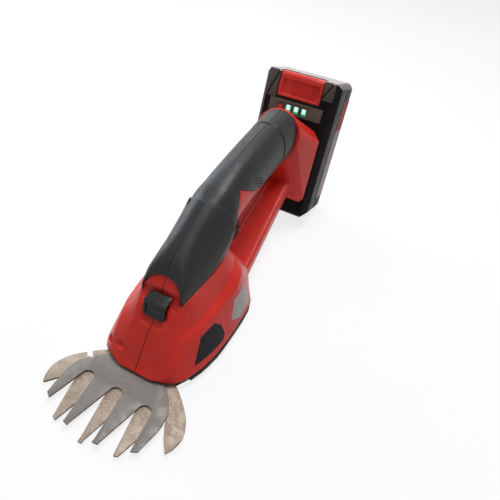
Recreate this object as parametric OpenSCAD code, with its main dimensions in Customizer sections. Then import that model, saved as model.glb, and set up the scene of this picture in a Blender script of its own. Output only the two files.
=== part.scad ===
// Cordless grass shears: a fixed and a swinging toothed blade under a clamshell housing with a soft
// grip, a guard bar, a trigger, a lock-off slider and a slide-on battery pack.
// X runs across the tool, the blades point to -Y, Z is up. The origin lies under the blade pivot.

/* [Blades] */
// Sheet thickness of both blades
blade_t = 1.8; // [1.4:0.1:2.2]
// Distance from the pivot to the tips of the fixed teeth
lower_reach = 80.5; // [76:0.5:86]
// Distance from the pivot to the tips of the moving teeth
upper_reach = 77.4; // [73:0.5:82]
// Spacing of the gaps between the moving teeth
tooth_pitch = 25.7; // [24.5:0.1:27]
// Radius at the root of each gap
gap_root_r = 5.2; // [4:0.1:6]
// Half-width of the fixed blade over its horns
horn_half_w = 56; // [53:0.5:60]
// Angle of the moving blade at rest
swing_rest = 2.4; // [0:0.1:5]
// Radius of the pivot bolt's shoulder
pivot_r = 4; // [3:0.1:5]
// Clear height between the two blades
blade_gap = 0.15; // [0.05:0.05:0.3]

/* [Base plate] */
// Thickness of the base plate's floor
base_t = 3; // [2.5:0.1:4]
// How far the base plate's rim stands out past the nose
base_lip = 0.3; // [0.1:0.1:1]
// How far the base plate's floor lies back under its rim
base_inset = 4; // [3:0.5:5]
// Height of the base plate's visible rim
rim_h = 4; // [3:0.1:5]
// Thickness of the base plate's rim
rim_t = 2.4; // [1.8:0.1:3]

/* [Gears] */
// Module of both gears
gear_m = 0.7; // [0.65:0.01:0.75]
// Teeth on the motor pinion
pinion_teeth = 12; // [11:1:14]
// Teeth on the drive gear
drive_teeth = 60; // [54:1:62]
// Face width of the gears
gear_face = 5; // [4:0.5:6]
// Distance from the pivot to the drive gear's axis
gear_y = 36; // [34:0.5:40]
// Distance from the drive gear's axis to its crank pin
crank_r = 5; // [4:0.1:5.5]
// Radius of the crank pin
crank_pin_r = 2; // [1.5:0.1:2.4]
// Wall of the gear case
case_t = 2; // [1.6:0.1:2.6]

/* [Motor] */
// Outside diameter of the motor can
motor_d = 27.7; // [24:0.1:29]
// Length of the motor can
motor_l = 38; // [32:0.5:40]
// Diameter of the motor shaft
shaft_d = 2.3; // [2:0.1:3.2]

/* [Housing] */
// Width of the nose at its base
nose_w = 88; // [80:1:96]
// Distance from the pivot to the front of the nose
nose_front = 24; // [22:0.5:28]
// Height of the nose's lower edge
nose_z = 8.5; // [8:0.1:10]
// Slope of the nose's front face
nose_slope = 53; // [50:0.5:56]
// Wall of the housing shells
wall = 2.5; // [2:0.1:3]
// Width of the handle at its middle
handle_w = 36; // [33:0.5:40]
// Thickness of the soft grip
grip_t = 2.2; // [1.6:0.1:2.6]
// How far the grip stands proud of the shells
grip_proud = 0.5; // [0.3:0.1:1]
// Width of the guard bar at its rear end
bar_w = 39; // [34:0.5:44]
// Height of the guard bar
bar_h = 15; // [12:0.5:18]
// Radius of the red lip behind the handle's collar
collar_r = 21.5; // [20:0.1:23]
// How far the grip's raised front stands over the rest of it
flare_t = 1.6; // [0.6:0.1:2]
// Width of the arched niche behind the slider
niche_w = 31; // [26:0.5:33]
// Height of the niche's arch
niche_h = 13.3; // [10:0.1:15]

/* [Controls] */
// Width of the trigger
trigger_w = 17; // [14:0.5:18]
// Radius of the trigger's pin
trigger_pin_r = 2; // [1.5:0.1:2.5]
// Width of the lock-off slider
slider_w = 18; // [15:0.5:20]
// Travel of the lock-off slider
slider_travel = 6; // [4:0.5:7]
// Width of the main switch's body
switch_w = 13; // [10:0.5:14]

/* [Battery pack] */
// Width of the pack
pack_w = 76; // [74:0.5:80]
// Length of the pack
pack_l = 134.5; // [132:0.5:140]
// Thickness of the pack
pack_t = 52.5; // [52:0.5:56]
// Angle at which the pack leans back
pack_tilt = 16.8; // [14:0.2:19]
// Wall of the pack's shells
pack_wall = 2.4; // [2:0.1:2.6]
// Distance from the pivot to the pack's upper front edge
pack_y = 242.9; // [240:0.5:248]
// Width of the latch button
latch_w = 43; // [38:0.5:46]
// Height of the latch button
latch_h = 23; // [20:0.5:24]
// Travel of the latch button
latch_travel = 3; // [2:0.1:4]
// Radius of the charge button
charge_r = 2.1; // [1.6:0.1:2.6]
// Radius of one cell
cell_r = 9; // [8.6:0.1:9.1]
// Length of one cell
cell_l = 65; // [60:0.5:65.5]

/* [Fits] */
// Clearance between pieces that slide or press on each other
slip = 0.3; // [0.2:0.05:0.5]
// Clearance of a pin in its running bore
run_fit = 0.05; // [0.02:0.01:0.09]
// Clearance of a fixed pin in its hole
pin_fit = 0.02; // [0.01:0.01:0.05]
// Radius of the housing screws' shanks
screw_r = 1.6; // [1.4:0.1:2]

/* [Hidden] */
$fn = 48;
eps = 0.01;
far = 400;

// Colours as the photograph shows them
red = "firebrick";
black = [0.10, 0.10, 0.11];
dark_grey = [0.22, 0.22, 0.23];
steel = "silver";
coated = [0.45, 0.45, 0.47];
brass = "darkgoldenrod";

// Heights of the blade stack
lower_z = base_t;
upper_z = lower_z + blade_t + blade_gap;
upper_top = upper_z + blade_t;
washer_t = 0.6;
washer_z = upper_top + run_fit;
bolt_head_z = washer_z + washer_t;
bolt_head_h = 2.5;

// Places of the gear train
mesh_play = 0.15;
motor_y = gear_y + gear_m * (drive_teeth + pinion_teeth) / 2 + mesh_play;
case_z = nose_z;
gear_z = case_z + case_t + 0.4;
cover_z = gear_z + gear_face + 1.6;
cover_t = 3;
motor_z = cover_z + cover_t;
motor_r = motor_d / 2;
motor_top = motor_z + motor_l;
end_cap_t = 4;
crank_angle = acos(gear_y * sin(swing_rest) / crank_r);
axle_r = 2.5;

// Place of the pack: its lower rear edge rests on the same plane as the base plate
pack_chamfer = 4;
pack_z = pack_l * cos(pack_tilt) + (pack_t - pack_chamfer) * sin(pack_tilt);
split_y = 24;
rail_out = 6;
rail_w = 40;
rail_lip = 4;
rail_top = -48;
rail_low = 30.5 - pack_l;
block_low = pack_l - 17.5;
blade_slots = [-12, 0, 12];

// A corner of the nose, one row for each cross-section: distance behind the front, half-width at the
// base, then the lower and the upper shoulder line and the foot of the grip, each as half-width and height
nose_rows = [
    [0, 14, 13.5, 0.5, 13, 0.8, 12, 1],
    [3, 24, 20.5, 2.8, 14.5, 3.9, 13, 3.9],
    [8.4, 32.4, 26.2, 8, 15, 11.1, 13.5, 11.1],
    [17.5, 37.3, 28, 17.6, 16, 23.1, 14, 23.1],
    [26, 40.2, 28.6, 24.6, 22, 28.8, 15, 34.4],
    [34, 42, 31.2, 26.2, 25.6, 30.2, 16.5, 43],
    [44, 43.6, 32.8, 27.2, 27.4, 30.8, 20, 48],
    [54, 44, 34, 28.2, 28.2, 31.9, 21.3, 50],
    [72, 44, 35.4, 30, 28.6, 34.6, 22, 51.5],
    [86, 43.6, 36, 34.2, 28.5, 39.4, 21.5, 54],
    [98, 42.4, 33, 36.4, 25.8, 41.8, 18, 55],
    [108, 39, 29, 33, 20, 42, 15, 46],
    [128, 25.5, 25, 11, 24, 14, 20, 15]];
nose_half = 44;
nose_rear = 84;

// The handle's cross-sections: distance behind the nose's front, top, underside, half-width, how much
// narrower the section is at its top, and how square it is
handle_rows = [
    [37, 57, 30, 17.5, 0, 3.4],
    [45.5, 66.2, 29, 19.5, 0.08, 3.2],
    [54, 73.8, 28, 20.8, 0.24, 2.9],
    [70, 83, 29, 22, 0.31, 2.5],
    [90, 92.7, 38, 21.8, 0.3, 2.4],
    [100, 96.6, 50, 21, 0.25, 2.4],
    [108, 99.8, 57, 20.4, 0.19, 2.4],
    [116, 102.2, 60, 18.8, 0.15, 2.4],
    [136, 107.2, 63.5, 18, 0.14, 2.4],
    [172, 112.3, 68.5, 18, 0.1, 2.4],
    [195, 114.6, 70.5, 18.2, 0.05, 2.3],
    [222, 116.6, 72.5, 18.8, 0, 2.2]];
handle_half = 18;
flare_start = 70;
flare_end = 102;
flare_curve = 24;
slope_out = 1;
niche_wall = 38.7;
groove_y = 194.5;
collar_end = 217.6;
collar_top = 116.8;
lip_y = 196.28;
lip_z = 102.54;

// The grip's lower edge seen from the side, from the front tip to the collar, then back over the top
grip_edge = [[30, 40], [37, 45], [53, 50], [69, 51.3], [84, 54], [96, 59.5], [104, 72], [122, 94.5],
    [142, 83], [154, 79.5], [196, 79.5], [230, 77], [236, 140], [30, 140]];

// The guard bar's centre line along its top, from the nose to the rear housing
bar_front = [112, 9.9];
bar_rear = [226, 52.4];
bar_front_half = 27;

// Trigger and switch places
trigger_y = 90;
trigger_z = 76;
trigger_top = 79;
nub_y = 108;
nub_top = 80.5;
switch_z = 84;
switch_h = 17;
switch_y0 = 96;
switch_y1 = 122;
plunger_w = 6;

// Lock-off slider places, along the slope of the nose's front face
slider_front = 43;
slider_ridge = 54.9;
slider_rear = 61.7;
slider_h = 4.9;
slider_seat = -0.9;
stem_front = 52;
stem_l = 6;
stem_w = 8;
spring_front = stem_front - slider_travel - 6.5;

// Screws that hold the two housing halves: distance behind the nose's front, height over its edge
housing_screw_at = [[12, 6.5], [104, 26], [97, 86], [160, 82], [206, 84], [221.8, 55]];
boss_r = 3.6;
head_r = 3;
screw_in = 8;

// Posts of the base plate under the gear case
post_r = 4;
post_x = 22;
post_rows = [gear_y - 13, motor_y + 9];

// Shared shapes

module at_pack() {
    translate([0, pack_y, pack_z])
        rotate([-pack_tilt, 0, 0])
            children();
}

module on_slope() {
    translate([0, -nose_front, nose_z])
        rotate([nose_slope, 0, 0])
            children();
}

module both_sides() {
    children();
    mirror([1, 0, 0])
        children();
}

// A slab of a side-view outline, as wide as asked
module side_slab(points, width) {
    rotate([90, 0, 90])
        linear_extrude(width, center = true)
            polygon(points);
}

// The straight length between two cross-sections square to Y that have as many points each
module span(y_a, outline_a, y_b, outline_b) {
    n = len(outline_a);
    hull()
        polyhedron(
            points = concat([for (p = outline_a) [p[0], y_a, p[1]]], [for (p = outline_b) [p[0], y_b, p[1]]]),
            faces = concat([[for (i = [n - 1:-1:0]) i]], [[for (i = [0:n - 1]) n + i]],
                [for (i = [0:n - 1]) [i, (i + 1) % n, n + (i + 1) % n]],
                [for (i = [0:n - 1]) [i, n + (i + 1) % n, n + i]]));
}

// Spans through a list of cross-sections, each a distance along Y and an outline
module spans(sections) {
    for (i = [0:len(sections) - 2])
        span(sections[i][0], sections[i][1], sections[i + 1][0], sections[i + 1][1]);
}

// Rows of numbers passed through a smooth curve, with steps between each two rows
function row_slope(rows, i) =
    let (a = rows[max(i - 1, 0)], b = rows[min(i + 1, len(rows) - 1)])
    (b - a) / (b[0] - a[0]);

function row_between(rows, i, u) =
    let (p = rows[i], q = rows[i + 1], h = q[0] - p[0])
    (2 * u * u * u - 3 * u * u + 1) * p + (u * u * u - 2 * u * u + u) * h * row_slope(rows, i)
    + (3 * u * u - 2 * u * u * u) * q + (u * u * u - u * u) * h * row_slope(rows, i + 1);

function smoothed(rows, steps) =
    concat([for (i = [0:len(rows) - 2]) for (k = [0:steps - 1]) row_between(rows, i, k / steps)],
        [rows[len(rows) - 1]]);

function mirrored(points) =
    concat(points, [for (i = [len(points) - 1:-1:0]) [-points[i][0], points[i][1]]]);

// A round-sided box that grows narrower from its middle to its top, as an outline
function oval(half_w, low, high, taper, power, steps = 28) =
    [for (i = [0:steps - 1])
        let (a = 360 * i / steps, c = cos(a), s = sin(a), v = sign(s) * pow(abs(s), 2 / power))
        [half_w * sign(c) * pow(abs(c), 2 / power) * (1 - taper * max(v, 0)),
         (low + high) / 2 + (high - low) / 2 * v]];

// One unbroken wire wound round the Z axis
function coil_point(r, wire_r, turns, height, i, j, rings, sides) =
    let (a = 360 * turns * i / rings, b = 360 * j / sides)
    [(r + wire_r * cos(b)) * cos(a), (r + wire_r * cos(b)) * sin(a),
     wire_r + (height - 2 * wire_r) * i / rings + wire_r * sin(b)];

module coil(r, wire_r, turns, height, sides = 6) {
    rings = 8 * turns;
    tube([for (i = [0:rings]) [for (j = [0:sides - 1])
        coil_point(r, wire_r, turns, height, i, j, rings, sides)]]);
}

// A closed tube through rings of points
module tube(rings) {
    n = len(rings);
    sides = len(rings[0]);
    points = [for (ring = rings) for (p = ring) p];
    walls = [for (i = [0:n - 2]) for (j = [0:sides - 1])
        let (a = i * sides + j, b = i * sides + (j + 1) % sides)
        each [[a, b, b + sides], [a, b + sides, a + sides]]];
    ends = [for (j = [1:sides - 2])
        each [[0, j + 1, j], [(n - 1) * sides, (n - 1) * sides + j, (n - 1) * sides + j + 1]]];
    polyhedron(points, concat(walls, ends));
}

// A lead along a route that mostly runs in Y and Z
function lead_ring(p, q, r, sides) =
    let (d = q - p, u = d / norm(d), w = [1, 0, 0] - u * u[0], x = w / norm(w), y = cross(u, x))
    [for (j = [0:sides - 1]) p + r * cos(360 * j / sides) * x + r * sin(360 * j / sides) * y];

module lead(route, r, sides = 8) {
    n = len(route);
    tube([for (i = [0:n - 1])
        let (before = route[max(i - 1, 0)], after = route[min(i + 1, n - 1)])
        lead_ring(route[i], route[i] + after - before, r, sides)]);
}

// Blades

// Outline of the moving blade, square to the tool
module upper_outline() {
    inner_half = 12;
    difference() {
        union() {
            intersection() {
                circle(upper_reach);
                polygon(mirrored([[38.5, -upper_reach], [39.6, -66], [41.8, -50], [41.8, -44], [40.2, -36.5],
                    [36.5, -30], [29, -22.5], [20, -18], [14, -10], [inner_half, 0]]));
            }
            translate([-inner_half, -1])
                square([2 * inner_half, gear_y + 1]);
            translate([0, gear_y])
                circle(inner_half);
        }
        for (x = [-tooth_pitch, 0, tooth_pitch])
            tooth_gap(x, -43.5, 10.8, upper_reach);
        circle(pivot_r + run_fit);
        crank_slot();
        edge_notch([-34.4, -28.6], 1.8);
    }
}

// Round-ended notch in a blade's outer edge, on one side only
module edge_notch(at, r) {
    translate(at)
        rotate(132)
            polygon(concat([for (a = [90:20:270]) r * [cos(a), sin(a)]], [[8, -r], [8, r]]));
}

// One gap between teeth: a round root that widens towards the tips
module tooth_gap(x, root_y, mouth_half, reach) {
    translate([x, root_y])
        circle(gap_root_r);
    polygon([[x - gap_root_r, root_y], [x + gap_root_r, root_y], [x + mouth_half, -reach + 3],
        [x + mouth_half, -reach - 5], [x - mouth_half, -reach - 5], [x - mouth_half, -reach + 3]]);
}

module crank_slot() {
    half = crank_pin_r + slip;
    translate([-half, gear_y - crank_r])
        square([2 * half, 2 * crank_r]);
    for (dy = [-crank_r, crank_r])
        translate([0, gear_y + dy])
            circle(half);
}

// Outline of the fixed blade: middle teeth, two outer teeth and a horn on each side
module lower_outline() {
    tip_half = 1.4;
    edge = tooth_pitch + tip_half;
    difference() {
        intersection() {
            circle(lower_reach);
            polygon(mirrored([[edge, -lower_reach - 5], [edge, -lower_reach + 5], [edge + 6.1, -52.5],
                [edge + 8.1, -43.5], [edge + 9.6, -41.4], [38.6, -41], [41.5, -45.8], [45.5, -52.6],
                [horn_half_w - 4.5, -59.8], [horn_half_w - 3.9, -59.4], [horn_half_w - 1.6, -55.4],
                [horn_half_w - 0.3, -50], [horn_half_w, -46], [horn_half_w - 1.4, -41], [51, -34],
                [46, -28.5], [40.4, -23.4], [35, -18.9], [29, -14.9], [29, 8], [12, 13]]));
        }
        for (x = [-tooth_pitch / 2, tooth_pitch / 2])
            tooth_gap(x, -48, tooth_pitch / 2 - tip_half, lower_reach);
        both_sides()
            translate([stud_x, stud_y])
                circle(stud_r + pin_fit);
        edge_notch([-38.9, -26.7], 2.1);
        circle(bolt_r + pin_fit);
    }
}

stud_r = 2.5;
stud_x = 20;
stud_y = 4;
bolt_r = 2.5;

module lower_blade() {
    color(steel)
        translate([0, 0, lower_z])
            linear_extrude(blade_t)
                lower_outline();
}

module upper_blade() {
    color(coated)
        translate([0, 0, upper_z])
            rotate(-swing_rest)
                linear_extrude(blade_t)
                    upper_outline();
}

module pivot_bolt() {
    color(steel)
        difference() {
            union() {
                translate([0, 0, bolt_low])
                    cylinder(h = bolt_head_z - bolt_low, r = bolt_r);
                translate([0, 0, lower_z + blade_t])
                    cylinder(h = bolt_head_z - lower_z - blade_t, r = pivot_r);
                translate([0, 0, bolt_head_z])
                    cylinder(h = bolt_head_h, r = pivot_r + 3);
            }
            translate([0, 0, bolt_head_z + 1])
                cylinder(h = bolt_head_h, r = 2.6, $fn = 6);
        }
}

bolt_low = 0.8;

module blade_washer() {
    color(steel)
        translate([0, 0, washer_z])
            difference() {
                cylinder(h = washer_t, r = pivot_r + 4);
                translate([0, 0, -eps])
                    cylinder(h = washer_t + 2 * eps, r = pivot_r + pin_fit);
            }
}

// Base plate

// Outline of the nose where it meets the base plate, grown or shrunk by a margin
module nose_outline(margin) {
    k = nose_w / 2 / nose_half;
    polygon(mirrored([for (row = nose_rows)
        [row[1] * k + margin, row[0] - nose_front + (row[0] == 0 ? -margin : 0)]]));
}

module base_plate() {
    front_open = -7;
    rear_end = nose_rear;
    rim_top = nose_z - 0.2;
    color(black)
        difference() {
            union() {
                linear_extrude(base_t)
                    intersection() {
                        nose_outline(-base_inset);
                        base_span(-nose_front + 9, rear_end);
                    }
                linear_extrude(rim_top - rim_h + eps)
                    intersection() {
                        nose_outline(-base_inset);
                        base_span(front_open, rear_end);
                    }
                translate([0, 0, rim_top - rim_h])
                    linear_extrude(rim_h)
                        intersection() {
                            nose_outline(base_lip);
                            base_span(front_open, rear_end);
                        }
            }
            translate([0, 0, base_t])
                linear_extrude(far)
                    intersection() {
                        nose_outline(-base_inset - rim_t);
                        base_span(-far / 2, rear_end - rim_t);
                    }
            translate([0, 0, bolt_low - 0.1])
                cylinder(h = base_t, r = bolt_r + pin_fit);
            base_post_holes();
        }
    color(black)
        difference() {
            union() {
                for (y = post_rows)
                    both_sides()
                        translate([post_x, y, base_t - eps])
                            cylinder(h = case_z - base_t + eps, r = post_r);
                both_sides()
                    translate([stud_x, stud_y, base_t - eps])
                        cylinder(h = blade_t - 0.1, r = stud_r);
            }
            base_post_holes();
        }
}

module base_span(y0, y1) {
    translate([-far / 2, y0])
        square([far, y1 - y0]);
}

module base_post_holes() {
    for (y = post_rows)
        both_sides()
            translate([post_x, y, -eps]) {
                cylinder(h = case_z + 1, r = screw_r + pin_fit);
                cylinder(h = screw_head_h + 0.4, r = head_r + 0.1);
            }
}

screw_head_h = 2;

module base_screws() {
    color(steel)
        for (y = post_rows)
            both_sides()
                translate([post_x, y, 0.3]) {
                    cylinder(h = screw_head_h, r = head_r);
                    cylinder(h = case_z + case_t + 2, r = screw_r);
                }
}

// Gear case, gears and motor

module case_outline(margin) {
    r = gear_m * drive_teeth / 2 + gear_m + 1.4 + margin;
    m = motor_r + 1.5 + margin;
    translate([0, gear_y])
        circle(r);
    translate([0, motor_y])
        circle(m);
    polygon([[-r * 0.97, gear_y + r * 0.24], [r * 0.97, gear_y + r * 0.24], [m * 0.97, motor_y + m * 0.24],
        [-m * 0.97, motor_y + m * 0.24]]);
}

module case_ears(z, h) {
    for (y = post_rows)
        both_sides()
            translate([post_x, y, z])
                cylinder(h = h, r = post_r + 0.6);
}

module gear_case() {
    window = crank_r + crank_pin_r + 1;
    color(dark_grey)
        difference() {
            union() {
                translate([0, 0, case_z])
                    linear_extrude(cover_z - case_z)
                        case_outline(case_t);
                case_ears(case_z, cover_z - case_z);
            }
            translate([0, 0, case_z + case_t])
                linear_extrude(cover_z)
                    case_outline(0);
            translate([0, gear_y, 0])
                cylinder(h = cover_z, r = window);
            for (y = post_rows)
                both_sides()
                    translate([post_x, y, case_z - eps])
                        cylinder(h = far, r = screw_r + pin_fit);
        }
}

module gear_cover() {
    color(dark_grey)
        difference() {
            union() {
                translate([0, 0, cover_z])
                    linear_extrude(cover_t)
                        case_outline(case_t);
                case_ears(cover_z, cover_t);
            }
            translate([0, gear_y, 0])
                cylinder(h = far, r = axle_r + pin_fit);
            translate([0, motor_y, 0])
                cylinder(h = far, r = motor_boss_r + pin_fit);
            for (y = post_rows)
                both_sides()
                    translate([post_x, y, 0])
                        cylinder(h = far, r = screw_r + pin_fit);
            for (a = [45, 225])
                translate([0, motor_y, 0])
                    rotate(a)
                        translate([motor_screw_pcd / 2, 0, 0])
                            cylinder(h = far, r = motor_screw_r + pin_fit);
        }
}

motor_boss_r = 5;
motor_screw_pcd = 16;
motor_screw_r = 1.25;

module cover_screws() {
    color(steel) {
        for (y = post_rows)
            both_sides()
                translate([post_x, y, 0]) {
                    translate([0, 0, case_z + case_t + 3])
                        cylinder(h = cover_z + cover_t - case_z - case_t - 3, r = screw_r);
                    translate([0, 0, cover_z + cover_t])
                        cylinder(h = screw_head_h, r = head_r);
                }
        for (a = [45, 225])
            translate([0, motor_y, 0])
                rotate(a)
                    translate([motor_screw_pcd / 2, 0, cover_z - 1.2]) {
                        cylinder(h = cover_t + 3, r = motor_screw_r);
                        cylinder(h = 1.2, r = 2.2);
                    }
    }
}

// Involute flank from the base circle to the tip, then its mirror
function flank(r_base, r) = sqrt(pow(r / r_base, 2) - 1) * 180 / PI - acos(r_base / r);

function tooth(teeth, m, play) =
    let (r = teeth * m / 2, rb = r * cos(20), root = r - 1.2 * m, tip = r + 0.9 * m,
         low = max(rb + 0.001, root), half = 90 / teeth - play / r * 90 / PI + flank(rb, r))
    [for (k = [0:4]) let (q = low + (tip - low) * k / 4) [q, half - flank(rb, q)]];

module gear_outline(teeth, m, play) {
    side = tooth(teeth, m, play);
    root = teeth * m / 2 - 1.2 * m;
    n = len(side) - 1;
    polygon([for (i = [0:teeth - 1]) let (a = 360 * i / teeth)
        each concat(
            [root * [cos(a - 0.98 * side[0][1]), sin(a - 0.98 * side[0][1])]],
            [for (k = [0:n]) side[k][0] * [cos(a - side[k][1]), sin(a - side[k][1])]],
            [for (k = [n:-1:0]) side[k][0] * [cos(a + side[k][1]), sin(a + side[k][1])]],
            [root * [cos(a + 0.98 * side[0][1]), sin(a + 0.98 * side[0][1])]])]);
}

gear_play = 0.12;

module drive_gear() {
    color("ivory")
        translate([0, gear_y, gear_z])
            difference() {
                union() {
                    rotate(90)
                        linear_extrude(gear_face)
                            gear_outline(drive_teeth, gear_m, gear_play);
                    cylinder(h = gear_face + 1.2, r = axle_r + 3);
                    rotate(crank_angle)
                        translate([crank_r, 0, upper_top + slip - gear_z])
                            cylinder(h = gear_z - upper_top, r = crank_pin_r);
                }
                translate([0, 0, -eps])
                    cylinder(h = far, r = axle_r + run_fit);
                translate([0, 0, gear_face - 1.4])
                    difference() {
                        cylinder(h = far, r = gear_m * drive_teeth / 2 - 4);
                        translate([0, 0, -eps])
                            cylinder(h = far + 1, r = axle_r + 3);
                    }
            }
}

module gear_axle() {
    color(steel)
        translate([0, gear_y, gear_z])
            cylinder(h = cover_z + cover_t - gear_z, r = axle_r);
}

module pinion() {
    color(brass)
        translate([0, motor_y, gear_z + 0.2])
            difference() {
                rotate(-90 + 180 / pinion_teeth)
                    linear_extrude(gear_face - 0.4)
                        gear_outline(pinion_teeth, gear_m, gear_play);
                translate([0, 0, -eps])
                    cylinder(h = gear_face, r = shaft_d / 2 + pin_fit);
            }
}

module motor_shaft() {
    color(steel)
        translate([0, motor_y, gear_z + 0.2])
            cylinder(h = motor_top + end_cap_t - 0.5 - gear_z, r = shaft_d / 2);
}

module armature() {
    color("peru")
        translate([0, motor_y, motor_z + 7])
            difference() {
                cylinder(h = motor_l - 15, r = motor_r - 2.6);
                translate([0, 0, -eps])
                    cylinder(h = motor_l, r = shaft_d / 2 + pin_fit);
                for (a = [0:72:288])
                    rotate(a)
                        translate([motor_r - 4.6, -1, -eps])
                            cube([5, 2, motor_l]);
            }
}

module motor_can() {
    can_t = 1.4;
    color(steel)
        translate([0, motor_y, 0])
            difference() {
                union() {
                    translate([0, 0, motor_z])
                        cylinder(h = motor_l, r = motor_r);
                    translate([0, 0, motor_z - 2])
                        cylinder(h = 2 + eps, r = motor_boss_r);
                }
                translate([0, 0, motor_z + can_t])
                    cylinder(h = motor_l, r = motor_r - can_t);
                translate([0, 0, motor_z - 3])
                    cylinder(h = motor_l, r = shaft_d / 2 + run_fit);
                for (a = [45, 225])
                    rotate(a)
                        translate([motor_screw_pcd / 2, 0, motor_z - eps])
                            cylinder(h = 5, r = motor_screw_r + pin_fit);
            }
}

module motor_end_cap() {
    color(black)
        translate([0, motor_y, motor_top])
            difference() {
                union() {
                    cylinder(h = end_cap_t, r = motor_r);
                    both_sides()
                        translate([lead_x - 1.5, -3, end_cap_t])
                            cube([3, 6, 2]);
                }
                translate([0, 0, -eps])
                    cylinder(h = far, r = shaft_d / 2 + run_fit);
            }
}

lead_x = 5;
lead_r = 1.1;

// Housing shells

// The solid of the nose up to its upper shoulder line, inset by a wall
module nose_lower(t) {
    k = nose_w / 2 / nose_half;
    spans([for (row = smoothed(nose_rows, 2)) [row[0] - nose_front, mirrored([
        [row[1] * k - t, nose_z - (t > 0 ? 1 : 0)],
        [row[2] * k - t, nose_z + max(row[3] - t * 0.6, 0.1)],
        [row[4] * k - t, nose_z + max(row[5] - t, 0.2)]])]]);
}

// The flank between the upper shoulder line and the foot of the grip
module nose_upper(t) {
    k = nose_w / 2 / nose_half;
    rows = smoothed(nose_rows, 2);
    spans([for (i = [6:len(rows) - 1]) let (row = rows[i]) [row[0] - nose_front, mirrored([
        [row[4] * k - t, nose_z + row[5] - t - 6],
        [row[4] * k - t, nose_z + row[5] - t],
        [row[6] - t, nose_z + row[7] - t]])]]);
}

// The solid of the handle, inset by a depth
module handle(t) {
    k = handle_w / 2 / handle_half;
    spans([for (row = smoothed(handle_rows, 2)) [row[0] - nose_front,
        oval(row[3] * k - t, nose_z + row[2] + t, nose_z + row[1] - t, row[4], row[5])]]);
}

// Everything in front of the nose's sloped face, moved inwards by a wall
module before_slope(t) {
    on_slope()
        translate([-far / 2, -far / 2, -t])
            cube([far, far, far]);
}

// The side-view area that the soft grip covers
module grip_zone(margin) {
    translate([0, -nose_front, nose_z])
        side_slab([for (p = grip_edge) [p[0], p[1] + margin]], far);
}

// The block behind the handle that carries the pack, in the pack's frame
module rear_block(t) {
    hull() {
        translate([0, lip_y, lip_z])
            rotate([90 - pack_tilt, 0, 0])
                cylinder(h = 2, r = collar_r - 1.4 * t, $fn = 40);
        at_pack() {
            rear_plate(32 - t, 46 + t, block_low - t, -1.2 - t, 2.5);
            rear_plate(26 - t, 50 + t, block_low - 5 - t, -9, 3);
        }
    }
}

module rear_plate(half, top, low, back, depth) {
    corner = 6;
    translate([0, back, 0])
        rotate([90, 0, 0])
            linear_extrude(depth)
                polygon(mirrored([[half - 1.2 * corner, -top], [half, -top - 1.3 * corner],
                    [half, -low + 0.7 * corner], [half - 0.6 * corner, -low]]));
}

// The guard bar between the nose and the rear block
module guard_bar(t) {
    spans([bar_end(bar_front, bar_front_half - t, t), bar_end(bar_rear, bar_w / 2 - t, t)]);
}

function bar_end(at, half, t) =
    let (low = nose_z + at[1] - bar_h + t, high = nose_z + at[1] - t, edge = 3)
    [at[0] - nose_front, mirrored([[half - edge, low], [half, low + edge], [half, high - edge / 2],
        [half - edge, high], [0.1, high + 0.6]])];

// Slot in the rear block that the pack's rail slides into, open at the top
module rail_slot() {
    at_pack() {
        translate([-rail_w / 2 - slip, -rail_out - slip, rail_low - slip])
            cube([rail_w + 2 * slip, rail_out + slip, far]);
        translate([-rail_w / 2 - rail_lip - slip, -rail_out - slip, rail_low - slip])
            cube([rail_w + 2 * rail_lip + 2 * slip, rail_out / 2 + 2 * slip, far]);
        translate([-far / 2, -slip - 0.2, -pack_l - 20])
            cube([far, far, far]);
        translate([-block_w / 2 - pin_fit, -rail_out - pin_fit, rail_low - block_h - slip - pin_fit])
            cube([block_w + 2 * pin_fit, far, block_h + 2]);
    }
}

block_w = 36;
block_h = 8;

// Channel and slot of the lock-off slider in the nose's sloped face
module slider_channel() {
    on_slope() {
        translate([-slider_w / 2 - slip, slider_front - slider_travel - slip, slider_seat - slip])
            cube([slider_w + 2 * slip, slider_rear - slider_front + slider_travel + 2 * slip, 30]);
        translate([-stem_w / 2 - slip, stem_front - slider_travel - slip, -20])
            cube([stem_w + 2 * slip, stem_l + slider_travel + 2 * slip, 30]);
    }
}

// Oval dimple low on the right of the nose's sloped face
module nose_dimple() {
    on_slope()
        translate([-19, 13.2, 0])
            scale([5, 3.2, 2])
                sphere(1, $fn = 20);
}

// Opening in the handle's underside for the trigger
module trigger_slot() {
    translate([-trigger_w / 2 - slip, trigger_y - 7, 40])
        cube([trigger_w + 2 * slip, 36, trigger_z - 33]);
}

// Room for the works inside the two shells
// The arched place behind the slider, from one height over the sloped face to another
module niche(low, high) {
    on_slope()
        translate([0, slider_rear, low])
            linear_extrude(high - low) {
                scale([1, 2 * niche_h / niche_w])
                    circle(r = niche_w / 2, $fn = 48);
                translate([-niche_w / 2, -30])
                    square([niche_w, 30]);
            }
}

// A shallow hollow in the sloped face before the slider
module thumb_scoop() {
    on_slope()
        translate([0, slider_front + 1, 0])
            scale([slider_w / 2 + 4.5, 9.5, 1])
                rotate_extrude($fn = 40)
                    polygon([[0, 4], [0, -1.75], [0.3, -1.66], [0.6, -1.33], [0.8, -0.83], [1, 0], [1, 4]]);
}

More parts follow.
